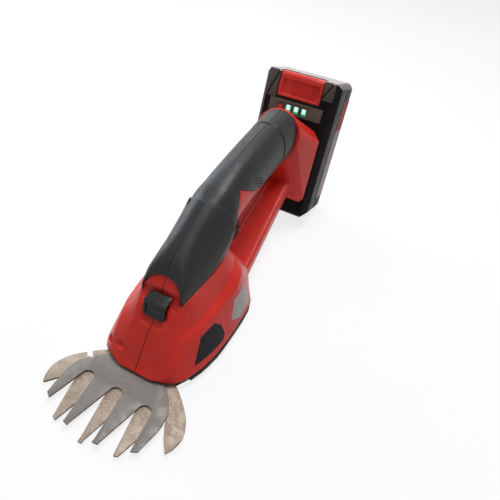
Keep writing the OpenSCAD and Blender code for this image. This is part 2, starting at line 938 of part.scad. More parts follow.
module works_room() {
    difference() {
        union() {
            intersection() {
                nose_lower(wall);
                translate([-far / 2, -far, -far])
                    cube([far, far + nose_rear - wall, 2 * far]);
            }
            difference() {
                union() {
                    nose_upper(wall);
                    handle(grip_t + wall);
                }
                before_slope(wall + 1.4);
            }
            translate([0, motor_y, motor_z - 1])
                cylinder(h = motor_l + end_cap_t + 16, r = motor_r + 2 * slip);
            on_slope()
                translate([-stem_w - 2, spring_front - slip, -wall - 12])
                    cube([2 * stem_w + 4, 64 - spring_front, 12 - 1.2]);
            at_pack()
                translate([-lead_x - 2 * lead_r, -rail_out - 4 * wall - 1, lead_end_z - 2 * lead_r]) {
                    cube([2 * lead_x + 4 * lead_r, 4 * wall + 1 + eps, 4 * lead_r]);
                    cube([2 * lead_x + 4 * lead_r, 3 * wall + 0.5, rail_low + 4 - lead_end_z + 2 * lead_r]);
                }
            intersection() {
                rear_block(wall + 1);
                at_pack()
                    translate([-far / 2, -far - rail_out - wall, rail_low + 2])
                        cube([far, far, 2 * far]);
            }
        }
        before_slope(wall);
        carriers();
    }
    bar_room();
}

module bar_room() {
    difference() {
        guard_bar(wall);
        translate([-far / 2, -far, -far])
            cube([far, far + bar_front[0] + 14 - nose_front, 2 * far]);
        at_pack()
            translate([-far / 2, -30, -far])
                cube([far, far, 2 * far]);
    }
}

// Ribs that hold the switch and bosses that take the screws and the trigger's pin
module carriers() {
    for (y = [switch_y0 + 4, switch_y1 - 7])
        both_sides()
            translate([switch_w / 2 + slip / 2, y, switch_z + 1])
                cube([far, 3, switch_h - 2]);
    for (p = housing_screw_at)
        translate([0, p[0] - nose_front, nose_z + p[1]])
            rotate([0, 90, 0])
                cylinder(h = far, r = boss_r, center = true, $fn = 24);
    both_sides()
        translate([trigger_w / 2 + slip, trigger_y, trigger_z])
            rotate([0, 90, 0])
                cylinder(h = far, r = trigger_pin_r + 2.4, $fn = 24);
}

module housing_body() {
    difference() {
        union() {
            nose_lower(0);
            difference() {
                union() {
                    nose_upper(0);
                    handle(grip_t);
                    difference() {
                        handle(grip_proud);
                        grip_zone(0);
                    }
                    intersection() {
                        handle(0.4);
                        niche(-4, slope_out);
                    }
                }
                before_slope(-slope_out);
            }
            rear_block(0);
            guard_bar(0);
        }
        works_room();
        before_slope(-slope_out);
        rail_slot();
        slider_channel();
        thumb_scoop();
        difference() {
            on_slope()
                translate([0.8 - niche_w / 2, slider_rear - 8, -2])
                    cube([niche_w - 1.6, far, far]);
            translate([-far / 2, niche_wall - nose_front, -far])
                cube([far, far, 2 * far]);
        }
        nose_dimple();
        trigger_slot();
        translate([0, trigger_y, trigger_z])
            rotate([0, 90, 0])
                cylinder(h = trigger_w + 10, r = trigger_pin_r + 0.08, center = true, $fn = 32);
        for (p = housing_screw_at)
            translate([0, p[0] - nose_front, nose_z + p[1]])
                screw_hole();
        translate([0, 0, -far + nose_z])
            cube([far, far, 2 * far], center = true);
    }
}

// Hole for a screw that enters from -X: shank, head and driver recess
module screw_hole() {
    rotate([0, 90, 0]) {
        translate([0, 0, -screw_in])
            cylinder(h = screw_in + 9.2, r = screw_r + 0.1, $fn = 24);
        translate([0, 0, -far - screw_in])
            cylinder(h = far, r = head_r + 0.15, $fn = 24);
    }
}

module left_side() {
    translate([0, -far, -far])
        cube([far, 2 * far, 2 * far]);
}

module housing_left() {
    color(red)
        intersection() {
            housing_body();
            left_side();
        }
}

module housing_right() {
    color(red)
        difference() {
            housing_body();
            left_side();
        }
}

// The soft grip, moulded over the handle, with its collar behind a groove
// The grip's raised front, which ends in a step that is hollow towards the rear
module grip_flare() {
    k = handle_w / 2 / handle_half;
    difference() {
        spans([for (row = smoothed(handle_rows, 2))
            if (row[0] >= flare_start && row[0] <= flare_end + 8)
                let (rise = flare_t * (row[0] - flare_start) / (flare_end - flare_start))
                [row[0] - nose_front, oval(row[3] * k + rise, nose_z + row[2] - rise,
                    nose_z + row[1] + rise, row[4], row[5])]]);
        translate([0, flare_end - 8 - nose_front + flare_curve, 0])
            cylinder(h = far, r = flare_curve, $fn = 64);
        translate([-far / 2, flare_end - nose_front, -far])
            cube([far, far, 2 * far]);
    }
}

module grip_body() {
    difference() {
        union() {
            grip_flare();
            difference() {
                handle(0);
                translate([-far / 2, groove_y - nose_front, -far])
                    cube([far, far, 2 * far]);
            }
            difference() {
                handle(0.8);
                translate([-far / 2, groove_y + 3 - nose_front, -far])
                    cube([far, far, 2 * far]);
            }
            difference() {
                handle(-0.3);
                translate([-far / 2, -far + groove_y + 2 - nose_front, -far])
                    cube([far, far, 2 * far]);
            }
        }
        difference() {
            handle(grip_t);
            before_slope(-slope_out);
        }
        niche(-4, far);
        nose_lower(0);
        nose_upper(0);
        rear_block(0);
        before_slope(-slope_out - 1.5);
        for (p = housing_screw_at)
            translate([0, p[0] - nose_front, nose_z + p[1]])
                screw_hole();
        below_grip();
    }
}

// What lies under the grip's lower edge
module below_grip() {
    difference() {
        translate([-far / 2, -far / 2, -far / 2])
            cube([far, far * 2, far * 2]);
        grip_zone(0.05);
    }
}

module grip_left() {
    color(black)
        intersection() {
            grip_body();
            left_side();
        }
}

module grip_right() {
    color(black)
        difference() {
            grip_body();
            left_side();
        }
}

module housing_screws() {
    color(steel)
        for (p = housing_screw_at)
            translate([0, p[0] - nose_front, nose_z + p[1]])
                rotate([0, 90, 0]) {
                    translate([0, 0, -screw_in])
                        cylinder(h = screw_in + 9, r = screw_r);
                    translate([0, 0, -screw_in - screw_head_h])
                        cylinder(h = screw_head_h, r = head_r);
                }
}

// Controls

module lock_off_slider() {
    seat = slider_seat;
    color(black)
        on_slope() {
            side_slab([[slider_front, seat], [slider_front, 0.6], [slider_ridge - 1.2, slider_h],
                [slider_ridge, slider_h], [slider_rear - 1, 0.3], [slider_rear, seat]], slider_w);
            translate([-stem_w / 2, stem_front, -wall - 2])
                cube([stem_w, stem_l, wall + 2 + seat + eps]);
            translate([-stem_w, stem_front - 3, -wall - 3.5])
                cube([2 * stem_w, stem_l + 6, 2]);
        }
}

module lock_off_spring() {
    color(steel)
        on_slope()
            translate([0, spring_front, -wall - 4])
                rotate([-90, 0, 0])
                    coil(1.6, 0.35, 4, stem_front - 3 - 0.1 - spring_front);
}

module trigger() {
    color(black)
        difference() {
            union() {
                side_slab([[trigger_y - 4, trigger_top - 1], [trigger_y - 4, trigger_z - 3],
                    [trigger_y + 1, 62], [trigger_y + 5.5, 51], [trigger_y + 11, 45.6], [trigger_y + 18, 45],
                    [trigger_y + 23, 47], [trigger_y + 24.5, 52], [trigger_y + 23, 62],
                    [trigger_y + 22, trigger_top]], trigger_w);
                translate([-3, nub_y - 1, trigger_top - 1])
                    cube([6, 2, nub_top - trigger_top + 1]);
            }
            translate([0, trigger_y, trigger_z])
                rotate([0, 90, 0])
                    cylinder(h = trigger_w + 2, r = trigger_pin_r + run_fit, center = true);
        }
}

module trigger_pin() {
    color(steel)
        translate([0, trigger_y, trigger_z])
            rotate([0, 90, 0])
                cylinder(h = trigger_w + 9.6, r = trigger_pin_r, center = true);
}

module trigger_spring() {
    color(steel)
        translate([0, trigger_y + 11, trigger_top + 0.1])
            coil(2.2, 0.4, 4, switch_z - trigger_top - 0.2);
}

module switch_body() {
    color(dark_grey)
        difference() {
            union() {
                translate([-switch_w / 2, switch_y0, switch_z])
                    cube([switch_w, switch_y1 - switch_y0, switch_h]);
                both_sides()
                    translate([lead_x - 2, switch_y0 - 2, switch_z + 10])
                        cube([4, 2 + eps, 5]);
                both_sides()
                    translate([lead_x - 2, switch_y1 - eps, switch_z + 10])
                        cube([4, 2 + eps, 5]);
            }
            translate([-plunger_w / 2 - run_fit, nub_y - plunger_w / 2 - run_fit, switch_z - eps])
                cube([plunger_w + 2 * run_fit, plunger_w + 2 * run_fit, 11]);
        }
}

module switch_plunger() {
    color("ivory")
        translate([-plunger_w / 2, nub_y - plunger_w / 2, nub_top + 0.2])
            cube([plunger_w, plunger_w, switch_z - nub_top + 5]);
}

// Leads inside the housing

lead_end_z = rail_low - slip - block_h / 2;

function pack_point(y, z) =
    [0, pack_y + y * cos(pack_tilt) + z * sin(pack_tilt), pack_z - y * sin(pack_tilt) + z * cos(pack_tilt)];

motor_lead_route = [[0, motor_y, motor_top + end_cap_t + 2.3], [0, motor_y + 1, motor_top + end_cap_t + 8],
    [0, motor_y + 8, 84], [0, motor_y + 16, 88], [0, switch_y0 - 9, 95.5], [0, switch_y0 - 2.2, 96.5]];
battery_lead_route = [[0, switch_y1 + 2.2, 96.5], [0, switch_y1 + 8, 97], [0, 148, 100], [0, 168, 101],
    [0, 184, 101], [0, 193, 95], pack_point(-20, rail_low + 36), pack_point(-13, rail_low + 24),
    pack_point(-12.5, rail_low + 6),
    pack_point(-11.5, lead_end_z + 3), pack_point(-9.5, lead_end_z), pack_point(-rail_out - 0.1, lead_end_z)];

module motor_leads() {
    color("crimson")
        both_sides()
            translate([lead_x, 0, 0])
                lead(motor_lead_route, lead_r);
}

module battery_leads() {
    color("crimson")
        both_sides()
            translate([lead_x, 0, 0])
                lead(battery_lead_route, lead_r);
}

module terminal_block() {
    color(black)
        at_pack()
            translate([0, -rail_out, rail_low - slip - block_h])
                difference() {
                    translate([-block_w / 2, 0, 0])
                        cube([block_w, rail_out - slip - 0.2, block_h]);
                    for (x = blade_slots)
                        translate([x - 0.5, 1.4, 2])
                            cube([1, 3, block_h]);
                }
}

module terminal_blades() {
    color("peru")
        at_pack()
            for (x = blade_slots)
                translate([x - 0.45, -rail_out + 1.5, rail_low - slip - block_h + 2.1])
                    cube([0.9, 2.8, block_h + 14]);
}

// Battery pack, in its own frame: the front face is y = 0, the top is z = 0

module pack_solid(t) {
    half = pack_w / 2 - t;
    front_half = pack_w / 2 - 5 - 0.6 * t;
    intersection() {
        translate([0, 0, -pack_l + t])
            linear_extrude(pack_l - 2 * t)
                polygon(mirrored([[front_half, t], [half, 7 + 0.4 * t], [half, pack_t - 6.5 - 0.4 * t],
                    [front_half, pack_t - t]]));
        side_slab([[t, -pack_l + 3 + t], [3 + t, -pack_l + t], [pack_t - pack_chamfer - 0.4 * t, -pack_l + t],
            [pack_t - t, -pack_l + pack_chamfer + 0.4 * t], [pack_t - t, -6 - 0.4 * t],
            [pack_t - 6 - 0.4 * t, -t], [2 + 0.4 * t, -t], [t, -2 - 0.4 * t]], pack_w + 2);
        rotate([90, 0, 0])
            translate([0, 0, -pack_t - 1])
                linear_extrude(pack_t + 2)
                    polygon(mirrored([[half - 5, -t], [half, -5 - 0.4 * t], [half, -pack_l + 6 + 0.4 * t],
                        [half - 6, -pack_l + t]]));
    }
}

latch_deep = 9;
pocket_deep = latch_deep + latch_travel + 0.5;
spring_deep = 4;
spring_hole_r = 5.2;
panel_half = 27;
panel_top = -25.6;
panel_low = -38;
panel_out = 0.8;
panel_in = 1.2;
charge_x = -15.3;
light_xs = [-6.9, 1.1, 9.1];
light_w = 5;
light_h = 6.4;
light_z = -32.7;

module latch_pocket(grow) {
    half = latch_w / 2 + slip + grow;
    translate([-half, -1, -latch_h - slip - grow])
        cube([2 * half, pocket_deep + grow + 1, latch_h + 10]);
}

module latch_spring_hole(grow) {
    translate([0, pocket_deep - 1, -latch_h / 2])
        rotate([-90, 0, 0])
            cylinder(h = spring_deep + 1 + grow, r = spring_hole_r + grow);
}

// Screw bosses of the pack
pack_screw_x = 29;
pack_screw_zs = [-13, -pack_l + 7.6];

module pack_bosses(r, y0, y1) {
    for (z = pack_screw_zs)
        both_sides()
            translate([pack_screw_x, y0, z])
                rotate([-90, 0, 0])
                    cylinder(h = y1 - y0, r = r);
}

module pack_body() {
    difference() {
        union() {
            difference() {
                pack_solid(0);
                difference() {
                    pack_solid(pack_wall);
                    pack_bosses(3.5, 0, pack_t);
                }
            }
            intersection() {
                pack_solid(0);
                latch_pocket(1.6);
            }
            latch_spring_hole(1.6);
        }
        latch_pocket(0);
        latch_spring_hole(0);
    }
}

module pack_front_shell() {
    color(black)
        at_pack()
            difference() {
                union() {
                    intersection() {
                        pack_body();
                        translate([-far / 2, -far, -far])
                            cube([far, far + split_y, 2 * far]);
                    }
                    translate([-rail_w / 2, -rail_out, rail_low])
                        cube([rail_w, rail_out + eps, rail_top - rail_low]);
                    translate([-rail_w / 2 - rail_lip, -rail_out, rail_low])
                        cube([rail_w + 2 * rail_lip, rail_out / 2, rail_top - rail_low]);
                }
                translate([-panel_half - pin_fit, -eps, panel_low - pin_fit])
                    cube([2 * (panel_half + pin_fit), panel_in + eps, panel_top - panel_low + 2 * pin_fit]);
                translate([charge_x, 0, light_z])
                    rotate([-90, 0, 0])
                        cylinder(h = 8, r = charge_r + slip);
                for (x = blade_slots)
                    translate([x - 0.9, -rail_out + 1.1, rail_low - eps])
                        cube([1.8, 3.6, 17]);
                pack_bosses(screw_r + pin_fit, 8, pack_t);
            }
}

module pack_rear_shell() {
    color(black)
        at_pack()
            difference() {
                pack_body();
                translate([-far / 2, -far, -far])
                    cube([far, far + split_y, 2 * far]);
                pack_bosses(screw_r + pin_fit, 8, pack_t + 1);
                pack_bosses(head_r + pin_fit, pack_t - 3.6, pack_t + 1);
            }
}

module pack_screws() {
    color(steel)
        at_pack() {
            pack_bosses(screw_r, 12, pack_t - 3.5);
            pack_bosses(head_r, pack_t - 3.6, pack_t - 1.6);
        }
}

module latch_button() {
    recess_w = latch_w - 7;
    color(red)
        at_pack()
            difference() {
                side_slab([[-0.6, -latch_h], [-0.6, -3], [1.4, -0.4], [latch_deep, -0.4], [latch_deep, -latch_h]],
                    latch_w);
                translate([-recess_w / 2, -1.6, -latch_h + 2])
                    cube([recess_w, 2.6, latch_h - 9]);
            }
}

module latch_spring() {
    color(steel)
        at_pack()
            translate([0, latch_deep + 0.1, -latch_h / 2])
                rotate([-90, 0, 0])
                    coil(4, 0.5, 4, pocket_deep + spring_deep - latch_deep - 0.2);
}

module indicator_panel() {
    color(dark_grey)
        at_pack()
            difference() {
                translate([-panel_half, -panel_out, panel_low])
                    cube([2 * panel_half, panel_out + panel_in, panel_top - panel_low]);
                for (x = light_xs)
                    translate([x - light_w / 2 - pin_fit, -2, light_z - light_h / 2 - pin_fit])
                        cube([light_w + 2 * pin_fit, 5, light_h + 2 * pin_fit]);
                translate([charge_x, -2, light_z])
                    rotate([-90, 0, 0])
                        cylinder(h = 5, r = charge_r + run_fit);
            }
}

module indicator_lights() {
    color("lightgreen")
        at_pack()
            for (x = light_xs)
                translate([x - light_w / 2, -panel_out - 0.1, light_z - light_h / 2])
                    cube([light_w, panel_out + panel_in + 0.1, light_h]);
}

board_y = 8;
board_t = 1.6;

module charge_button() {
    color(red)
        at_pack()
            translate([charge_x, -panel_out - 0.5, light_z])
                rotate([-90, 0, 0])
                    cylinder(h = board_y + panel_out + 0.5 - 1.1, r = charge_r);
}

holder_y = board_y + board_t;

module pack_board() {
    color("darkgreen")
        at_pack()
            difference() {
                translate([-28, board_y, rail_low + 4])
                    cube([56, board_t, -27 - rail_low - 4]);
                translate([-40, board_y - 1, -latch_h - 4])
                    cube([80, 4, 40]);
            }
}

module pack_contacts() {
    color("peru")
        at_pack()
            for (x = blade_slots)
                translate([x - 0.8, pack_wall, rail_low + 8])
                    cube([1.6, board_y - pack_wall, 6]);
}

cell_rows = [21, 39.8];
cell_pitch = 19;
cell_top = -36;
cell_steps = floor((pack_l + cell_top - cell_r - pack_wall - 1.4) / cell_pitch);

module cell_places() {
    for (y = cell_rows)
        for (k = [0:cell_steps])
            translate([0, y, cell_top - cell_pitch * k])
                rotate([0, 90, 0])
                    children();
}

module cells() {
    color("steelblue")
        at_pack()
            cell_places()
                cylinder(h = cell_l, r = cell_r, center = true);
}

module cell_holders() {
    top = cell_top + cell_r + 0.8;
    low = cell_top - cell_steps * cell_pitch - cell_r - 1.2;
    color(dark_grey)
        at_pack()
            difference() {
                both_sides()
                    translate([24, holder_y, low])
                        cube([5, pack_t - pack_wall - 0.2 - holder_y, top - low]);
                cell_places()
                    cylinder(h = far, r = cell_r + pin_fit, center = true);
            }
}

lower_blade();
upper_blade();
pivot_bolt();
blade_washer();
base_plate();
base_screws();
gear_case();
gear_cover();
cover_screws();
drive_gear();
gear_axle();
motor_can();
motor_end_cap();
motor_shaft();
armature();
pinion();
housing_left();
housing_right();
grip_left();
grip_right();
housing_screws();
lock_off_slider();
lock_off_spring();
trigger();
trigger_pin();
trigger_spring();
switch_body();
switch_plunger();
terminal_block();
terminal_blades();
motor_leads();
battery_leads();
pack_front_shell();
pack_rear_shell();
pack_screws();
latch_button();
latch_spring();
indicator_panel();
indicator_lights();
charge_button();
pack_board();
pack_contacts();
cell_holders();
cells();
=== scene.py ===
import math

import bpy
import numpy as np
from mathutils import Matrix, Vector


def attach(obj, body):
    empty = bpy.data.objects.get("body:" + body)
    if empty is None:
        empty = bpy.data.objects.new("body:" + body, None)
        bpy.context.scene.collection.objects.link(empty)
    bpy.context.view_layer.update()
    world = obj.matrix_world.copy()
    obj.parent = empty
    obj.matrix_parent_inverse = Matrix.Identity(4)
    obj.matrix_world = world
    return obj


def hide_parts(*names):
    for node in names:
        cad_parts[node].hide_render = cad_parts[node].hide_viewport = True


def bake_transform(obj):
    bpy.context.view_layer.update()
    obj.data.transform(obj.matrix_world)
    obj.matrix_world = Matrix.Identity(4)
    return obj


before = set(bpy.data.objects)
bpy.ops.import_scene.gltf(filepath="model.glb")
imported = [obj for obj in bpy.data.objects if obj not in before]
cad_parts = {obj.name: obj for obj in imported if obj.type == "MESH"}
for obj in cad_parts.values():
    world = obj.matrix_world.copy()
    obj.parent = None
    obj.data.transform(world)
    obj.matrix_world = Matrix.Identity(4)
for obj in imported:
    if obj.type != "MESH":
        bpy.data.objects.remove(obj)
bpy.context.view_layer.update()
mm = 0.001

# The view: a camera held above the blades and to the tool's left, looking back along the grip.
# The tool stands on a pale floor, in soft light from above and from three large screens.
eye = bpy.data.objects.new("eye", bpy.data.cameras.new("eye"))
bpy.context.collection.objects.link(eye)
eye.data.lens = 32.73
eye.data.sensor_width = 36
eye.data.clip_start = 0.01
eye.location = (0.13747, -0.16047, 0.29909)
eye.rotation_euler = [math.radians(a) for a in (48.0133, -4.7965, 27.348)]
bpy.context.scene.camera = eye
bpy.context.scene.view_settings.view_transform = "Standard"


def soft_lamp(name, place, size, power, colour=(1, 1, 1)):
    """A square lamp, that many metres wide, turned to the middle of the tool."""
    lamp = bpy.data.objects.new(name, bpy.data.lights.new(name, "AREA"))
    bpy.context.collection.objects.link(lamp)
    lamp.data.shape = "SQUARE"
    lamp.data.size = size
    lamp.data.energy = power
    lamp.data.color = colour
    lamp.location = place
    tool_middle = Vector((0, 0.1, 0.05))
    lamp.rotation_euler = (tool_middle - Vector(place)).to_track_quat("-Z", "Y").to_euler()


soft_lamp("sky_lamp", (0.12, 0.42, 1.31), size=0.6, power=13)
soft_lamp("left_screen", (-1.17, 0.5, 0.42), size=0.8, power=6, colour=(0.82, 0.92, 1))
soft_lamp("back_screen", (-0.7, 0.8, 0.9), size=0.8, power=5, colour=(0.9, 0.96, 1))
soft_lamp("front_screen", (0, -0.4, 1.27), size=0.9, power=3.4)


class Tone:
    """One socket of a finish. Sums on it become Math nodes."""

    def __init__(self, socket):
        self.socket = socket
        self.tree = socket.id_data

    def node(self, kind, settings, sockets, out=0):
        """Adds a node to the same finish, its sockets fed by tones or set to plain values."""
        made = self.tree.nodes.new("ShaderNode" + kind)
        for name, value in settings.items():
            setattr(made, name, value)
        for name, value in sockets.items():
            if isinstance(value, Tone):
                self.tree.links.new(value.socket, made.inputs[name])
            else:
                made.inputs[name].default_value = value
        return Tone(made.outputs[out])

    def maths(self, operation, a, b=0):
        return self.node("Math", {"operation": operation}, {0: a, 1: b})

    def __add__(self, other):
        return self.maths("ADD", self, other)

    def __radd__(self, other):
        return self.maths("ADD", other, self)

    def __sub__(self, other):
        return self.maths("SUBTRACT", self, other)

    def __rsub__(self, other):
        return self.maths("SUBTRACT", other, self)

    def __mul__(self, other):
        return self.maths("MULTIPLY", self, other)

    def __rmul__(self, other):
        return self.maths("MULTIPLY", other, self)

    def __abs__(self):
        return self.maths("ABSOLUTE", self)

    def greater(self, other):
        return self.maths("MAXIMUM", self, other)

    def part(self, axis):
        return self.node("SeparateXYZ", {}, {0: self}, axis)

    def between(self, low, high):
        """0 below low, 1 above high, and a smooth rise from the one to the other."""
        steps = {0: self, 1: low, 2: high}
        return self.node("MapRange", {"interpolation_type": "SMOOTHSTEP"}, steps)

    def mix(self, a, b):
        """Colour a where this tone is 0 and colour b where it is 1."""
        return self.node("Mix", {"data_type": "RGBA"}, {0: self, 6: a, 7: b}, 2)

    def into(self, socket):
        self.tree.links.new(self.socket, socket)


def seen_plainly(tree):
    """1 for a look at the background, also by way of a shine or through a clear piece."""
    ray = tree.nodes.new("ShaderNodeLightPath")
    camera = Tone(ray.outputs["Is Camera Ray"])
    shine = Tone(ray.outputs["Is Glossy Ray"])
    clear = Tone(ray.outputs["Is Transmission Ray"])
    return camera.greater(shine).greater(clear)


sky = bpy.data.worlds.new("sky")
bpy.context.scene.world = sky
sky.use_nodes = True
backdrop = sky.node_tree.nodes["Background"]
backdrop.inputs["Color"].default_value = (1, 1, 1, 1)
(0.08 + 0.92 * seen_plainly(sky.node_tree)).into(backdrop.inputs["Strength"])

bpy.ops.object.select_all(action="DESELECT")
bpy.ops.mesh.primitive_plane_add(size=8)
floor = bpy.context.object
floor.name = "floor"
pale_floor = bpy.data.materials.new("pale_floor")
pale_floor.use_nodes = True
floor.data.materials.append(pale_floor)
chalk = pale_floor.node_tree.nodes["Principled BSDF"]
chalk.inputs["Base Color"].default_value = (0.9, 0.9, 0.9, 1)
chalk.inputs["Roughness"].default_value = 0.95
chalk.inputs["Specular IOR Level"].default_value = 0
seen = seen_plainly(pale_floor.node_tree)
glow = seen.node("Emission", {}, {"Color": (1, 1, 1, 1), "Strength": 1})
lifted = seen.node("MixShader", {}, {0: 0.8 * seen, 1: Tone(chalk.outputs["BSDF"]), 2: glow})
lifted.into(pale_floor.node_tree.nodes["Material Output"].inputs["Surface"])

# Base plate: one moulding in black glass-filled plastic that closes the nose from below and
# stands on the ground. Its rim shows as a thin dark edge under the red shells.


def let_go():
    if bpy.context.object and bpy.context.object.mode != "OBJECT":
        bpy.ops.object.mode_set(mode="OBJECT")
    bpy.ops.object.select_all(action="DESELECT")


def take(piece):
    let_go()
    piece.select_set(True)
    bpy.context.view_layer.objects.active = piece


def cast_of(node, name):
    """A copy of a solid's skin with its loose triangles joined, ready to be worked on."""
    piece = bpy.data.objects.new(name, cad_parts[node].data.copy())
    bpy.context.collection.objects.link(piece)
    piece.data.materials.clear()
    take(piece)
    bpy.ops.mesh.customdata_custom_splitnormals_clear()
    bpy.ops.object.mode_set(mode="EDIT")
    bpy.ops.mesh.select_all(action="SELECT")
    bpy.ops.mesh.remove_doubles(threshold=0.002 * mm)
    bpy.ops.mesh.dissolve_limited(angle_limit=math.radians(0.6))
    bpy.ops.object.mode_set(mode="OBJECT")
    return piece


def apply_all(piece):
    take(piece)
    for modifier in list(piece.modifiers):
        bpy.ops.object.modifier_apply(modifier=modifier.name)


def shade(angle=40):
    """Shades the piece in hand as smooth, but for edges sharper than that angle."""
    bpy.ops.object.shade_smooth_by_angle(angle=math.radians(angle))


def round_edges(piece, width, segments=3, angle=28):
    """Breaks a piece's edges as a mould or a file does."""
    edge = piece.modifiers.new("edges", "BEVEL")
    edge.width = width * mm
    edge.segments = segments
    edge.limit_method = "ANGLE"
    edge.angle_limit = math.radians(angle)
    edge.miter_outer = "MITER_ARC"
    apply_all(piece)
    shade()


def dress(piece, material, slot, body, *nodes):
    """Gives a piece its finish and lets it ride a body in place of those nodes. The slot is not
    used.
    """
    piece.data.materials.append(material)
    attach(piece, body)
    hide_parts(*nodes)


def tint(*look):
    """A colour written as it looks, 0 to 255, as light."""
    light = [c / 255 / 12.92 if c < 11 else ((c / 255 + 0.055) / 1.055) ** 2.4 for c in look]
    return (*light, 1)


def finish(name, metallic=0.0, specular=0.5):
    material = bpy.data.materials.new(name)
    material.use_nodes = True
    shader = material.node_tree.nodes["Principled BSDF"]
    shader.inputs["Metallic"].default_value = metallic
    shader.inputs["Specular IOR Level"].default_value = specular
    place = Tone(material.node_tree.nodes.new("ShaderNodeTexCoord").outputs["Object"])
    return material, shader, place


def mottle(place, size, detail=3, rough=0.55):
    """Soft blotches about as wide as size, in millimetres."""
    return place.node("TexNoise", {}, {"Vector": place, "Scale": 1 / (size * mm),
        "Detail": detail, "Roughness": rough})


def streaks(place, across, along, turn):
    """Fine lines, that wide and that long in millimetres, turned about the three axes."""
    laid = place.node("Mapping", {}, {"Vector": place, "Rotation": turn,
        "Scale": (1 / (along * mm), 1 / (across * mm), 1 / (across * mm))})
    return laid.node("TexNoise", {}, {"Vector": laid, "Scale": 1, "Detail": 2, "Roughness": 0.5})


def upward(place):
    """1 on faces that look up, 0 on upright ones and -1 on those that look down."""
    return place.node("TexCoord", {}, {}, "Normal").part("Z")


def relief(shader, height, depth):
    bump = height.node("Bump", {}, {"Strength": 1, "Distance": depth * mm, "Height": height})
    bump.into(shader.inputs["Normal"])


def moulded(name, colour, pale, rough, texture, scuffs, specular=0.08, top_highlight=0.0, seam=0.0):
    """Moulded plastic: a spark-eroded texture, faint cloudiness, pale hairline scuffs and handling,
    a painted highlight in pale grey on faces that look up, and a dark line within seam millimetres
    of the joint in the middle."""
    material, shader, place = finish(name, 0, specular)
    clouds = mottle(place, 30).between(0.35, 0.68)
    handled = mottle(place, 9, 4).between(0.42, 0.7)
    grain = mottle(place, 0.45, 2)
    hair = streaks(place, 0.18, 9, (0.5, 0.3, 0.9)).between(0.69, 0.76) * handled
    body = clouds.mix([0.93 * c for c in colour], [1.05 * c for c in colour])
    wear_and_painted_light = (scuffs * hair).mix(body, pale)
    if top_highlight:
        # Painted highlight: faces that look up are mixed towards pale grey, as if lit from above.
        painted_top_light = top_highlight * upward(place).between(0.5, 0.95) * (0.8 + 0.4 * grain - 0.1 * clouds)
        wear_and_painted_light = painted_top_light.mix(wear_and_painted_light, tint(214, 206, 204))
    if seam:
        # A near-black line along the joint in the middle, within seam millimetres of it.
        off_seam = abs(place.part("X")).between(0.5 * seam * mm, seam * mm)
        wear_and_painted_light = (0.9 - 0.9 * off_seam).mix(wear_and_painted_light, tint(22, 14, 14))
    wear_and_painted_light.into(shader.inputs["Base Color"])
    (rough + 0.1 * handled - 0.06 * grain + 0.1 * hair).into(shader.inputs["Roughness"])
    relief(shader, grain - 0.4 * hair, texture)
    return material


plate_black = moulded("plate_black", tint(30, 29, 31), tint(110, 108, 105),
    rough=0.46, texture=0.03, scuffs=0.25)
base = cast_of("base_plate", "base_moulding")
round_edges(base, 0.35, 2)
dress(base, plate_black, "black_plastic", "tool", "base_plate")

# Fixed blade: a comb of three teeth and two horns, stamped from 1.8 mm spring steel with its edges
# broken. It lies on the base plate, dull with sap and soil, and rusty at the roots of the teeth.


def used_steel(name, clean, soil, fleck, rust, metallic, rough, rust_share, rust_from, rust_to):
    """Worn sheet steel: rolled grain, dried sap and dark flecks, and rust in a band that lies
    between two distances from the pivot, in millimetres."""
    material, shader, place = finish(name, metallic)
    rolled = streaks(place, 0.25, 14, (0, 0, 1.57))
    sap = mottle(place, 7, 5, 0.62).between(0.4, 0.66)
    spots = mottle(place, 1.1, 3, 0.6).between(0.57, 0.65)
    fine = mottle(place, 0.35, 2)
    flat = place.node("Mapping", {}, {"Vector": place, "Scale": (1, 1, 0)})
    radius = flat.node("VectorMath", {"operation": "LENGTH"}, {0: flat}, "Value")
    band = radius.between(rust_from * mm, (rust_from + 6) * mm) * (
        1 - radius.between((rust_to - 8) * mm, rust_to * mm))
    rusty = (mottle(place, 2.2, 6, 0.7) + 0.12 * band).between(0.64, 0.78) * band
    # Upright faces are coloured darker, towards a dark brown.
    side = 1 - abs(upward(place)).between(0.3, 0.8)
    colour = sap.mix(clean, soil)
    colour = (0.22 * rolled.between(0.4, 0.7)).mix(colour, [0.7 * c for c in clean])
    colour = (0.6 * spots).mix(colour, fleck)
    colour = (rust_share * rusty).mix(colour, rust)
    colour = (0.8 * side).mix(colour, [0.6 * c for c in fleck])
    colour.into(shader.inputs["Base Color"])
    (rough + 0.16 * sap + 0.12 * rusty - 0.1 * fine).into(shader.inputs["Roughness"])
    (metallic * (1 - 0.7 * rusty) - 0.25 * sap * metallic).into(shader.inputs["Metallic"])
    relief(shader, 0.6 * rolled + 0.5 * fine + 0.8 * rusty + 0.4 * spots, 0.03)
    return material


soiled_steel = used_steel("soiled_steel", clean=tint(166, 150, 134), soil=tint(150, 131, 114),
    fleck=tint(84, 64, 46), rust=tint(146, 86, 46), metallic=0.12, rough=0.5,
    rust_share=0.75, rust_from=36, rust_to=62)
comb = cast_of("lower_blade", "fixed_comb")
round_edges(comb, 0.18, 2)
dress(comb, soiled_steel, "blade_steel", "tool", "lower_blade")

# Swinging blade: a second comb of four teeth, coated mid grey, that lies on the fixed one and
# swings about the pivot bolt. Its upright sides are coloured darker, towards brown.
coated_steel = used_steel("coated_steel", clean=tint(114, 109, 104), soil=tint(109, 103, 97),
    fleck=tint(92, 80, 72), rust=tint(122, 84, 60), metallic=0.1, rough=0.44,
    rust_share=0.25, rust_from=44, rust_to=82)
swing = cast_of("upper_blade", "swinging_comb")
round_edges(swing, 0.18, 2)
dress(swing, coated_steel, "blade_coated", "swing_blade", "upper_blade")

# Pivot bolt, washer, screws and pins: turned from steel and zinc plated, with the fine rings of
# the lathe and a little dullness. The return springs are wound from steel wire.


